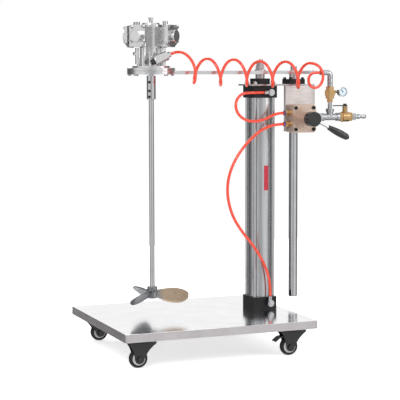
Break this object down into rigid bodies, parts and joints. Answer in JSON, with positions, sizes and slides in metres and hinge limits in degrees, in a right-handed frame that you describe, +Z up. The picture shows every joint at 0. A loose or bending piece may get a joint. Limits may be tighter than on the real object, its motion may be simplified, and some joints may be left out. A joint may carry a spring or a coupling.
{
  "type": "pneumatic paint mixer",
  "caption": "Compressed-air paint mixer on a wheeled steel deck: a pneumatic lift cylinder raises an arm carrying an air motor, shaft and propeller.",
  "frame": {"origin": "middle of the deck's top face, where the pail stands", "axes": "+X along the deck's long side towards the cylinder, +Y to the back, +Z up"},
  "size_m": [0.792, 0.48, 0.917],
  "materials": {
    "polished_steel": "mirror polished",
    "zinc": "zinc plated",
    "black_steel": "black",
    "caster_black": "black",
    "wheel": "black tread, grey ring",
    "barrel": "anodised",
    "chrome": "bright",
    "cast": "polished casting",
    "valve_cast": "champagne coat",
    "brass": "bare",
    "grip": "black",
    "hose": "red polyurethane",
    "blade": "ground casting",
    "dial": "dial"
  },
  "bodies": {
    "frame": {"deck_tray": "polished_steel", "deck_rails": "zinc", "caster_plates": "black_steel", "cylinder_base_cap": "black_steel", "cylinder_head_cap": "black_steel", "cylinder_barrel": "barrel", "tie_rods": "zinc", "rod_gland": "black_steel", "bracket_plate": "zinc", "guide_bush": "black_steel", "valve_plate": "barrel", "valve_body": "valve_cast", "valve_cover": "valve_cast", "socket_screws": "black_steel", "valve_fittings": "brass", "port_elbows": "chrome", "lift_hose_upper": "hose", "lift_hose_lower": "hose", "inlet_nipples": "chrome", "inlet_tee": "zinc", "flow_regulator": "brass", "gauge_case": "dial", "riser_elbow": "zinc", "ball_valve_body": "brass", "quick_plug": "zinc", "coil_hose": "hose", "coil_hose_valve_end": "hose"},
    "lift": {"piston": "barrel", "piston_rod": "chrome", "rod_nuts": "zinc", "lift_arm": "polished_steel", "guide_rod": "chrome", "guide_rod_screw": "zinc", "motor_plate": "cast", "motor_pedestal": "cast", "motor_crankcase": "cast", "motor_heads": "cast", "motor_fasteners": "zinc", "motor_plugs": "zinc", "motor_throttle": "cast", "coil_hose_motor_end": "hose"},
    "throttle": {"throttle_knob": "grip"},
    "rotor": {"motor_shaft": "chrome", "shaft_coupling": "chrome", "mixing_shaft": "chrome", "propeller": "blade"},
    "valve_lever": {"lever_hub": "grip", "lever_grip": "grip"},
    "ball_handle": {"ball_valve_handle": "black_steel"},
    "pointer": {"gauge_pointer": "grip"},
    "swivel_front_left": {"caster_fork_front_left": "caster_black"},
    "wheel_front_left": {"caster_wheel_front_left": "wheel"},
    "swivel_front_right": {"caster_fork_front_right": "caster_black"},
    "wheel_front_right": {"caster_wheel_front_right": "wheel"},
    "swivel_back_left": {"caster_fork_back_left": "caster_black"},
    "wheel_back_left": {"caster_wheel_back_left": "wheel"},
    "swivel_back_right": {"caster_fork_back_right": "caster_black"},
    "wheel_back_right": {"caster_wheel_back_right": "wheel"},
    "pedal_front_right": {"brake_pedal_front_right": "caster_black"},
    "pedal_back_right": {"brake_pedal_back_right": "caster_black"}
  },
  "joints": [
    {"name": "lift_slide", "type": "slide", "parent": "frame", "child": "lift", "axis": [0, 0, 1], "range_m": [0, 0.5], "deforming": ["coil_hose", "coil_hose_motor_end", "coil_hose_valve_end"]},
    {"name": "shaft_spin", "type": "hinge", "parent": "lift", "child": "rotor", "pos_m": [-0.107, 0.022, 0.3], "axis": [0, 0, 1], "continuous": true},
    {"name": "throttle_turn", "type": "hinge", "parent": "lift", "child": "throttle", "pos_m": [-0.117, -0.029, 0.7], "axis": [0.9205, 0, 0.3907], "range_deg": [0, 270]},
    {"name": "lever_turn", "type": "hinge", "parent": "frame", "child": "valve_lever", "pos_m": [0.312, -0.1285, 0.5413], "axis": [0, -1, 0], "range_deg": [-45, 45]},
    {"name": "ball_valve_turn", "type": "hinge", "parent": "frame", "child": "ball_handle", "pos_m": [0.451, -0.053, 0.57], "axis": [0, 0, 1], "range_deg": [0, 90]},
    {"name": "gauge_pointer_turn", "type": "hinge", "parent": "frame", "child": "pointer", "pos_m": [0.435, -0.07, 0.6148], "axis": [0, 1, 0], "range_deg": [-100, 170]},
    {"name": "swivel_front_left", "type": "hinge", "parent": "frame", "child": "swivel_front_left", "pos_m": [-0.217, -0.198, -0.03], "axis": [0, 0, 1], "continuous": true},
    {"name": "roll_front_left", "type": "hinge", "parent": "swivel_front_left", "child": "wheel_front_left", "pos_m": [-0.227, -0.198, -0.072], "axis": [0, 1, 0], "continuous": true},
    {"name": "swivel_front_right", "type": "hinge", "parent": "frame", "child": "swivel_front_right", "pos_m": [0.217, -0.198, -0.03], "axis": [0, 0, 1], "continuous": true},
    {"name": "roll_front_right", "type": "hinge", "parent": "swivel_front_right", "child": "wheel_front_right", "pos_m": [0.207, -0.198, -0.072], "axis": [0, 1, 0], "continuous": true},
    {"name": "swivel_back_left", "type": "hinge", "parent": "frame", "child": "swivel_back_left", "pos_m": [-0.217, 0.198, -0.03], "axis": [0, 0, 1], "continuous": true},
    {"name": "roll_back_left", "type": "hinge", "parent": "swivel_back_left", "child": "wheel_back_left", "pos_m": [-0.207, 0.198, -0.072], "axis": [0, 1, 0], "continuous": true},
    {"name": "swivel_back_right", "type": "hinge", "parent": "frame", "child": "swivel_back_right", "pos_m": [0.217, 0.198, -0.03], "axis": [0, 0, 1], "continuous": true},
    {"name": "roll_back_right", "type": "hinge", "parent": "swivel_back_right", "child": "wheel_back_right", "pos_m": [0.207, 0.198, -0.072], "axis": [0, 1, 0], "continuous": true},
    {"name": "brake_front_right", "type": "hinge", "parent": "swivel_front_right", "child": "pedal_front_right", "pos_m": [0.193, -0.198, -0.044], "axis": [0, -1, 0], "range_deg": [0, 15]},
    {"name": "brake_back_right", "type": "hinge", "parent": "swivel_back_right", "child": "pedal_back_right", "pos_m": [0.193, 0.198, -0.044], "axis": [0, -1, 0], "range_deg": [0, 15]}
  ]
}
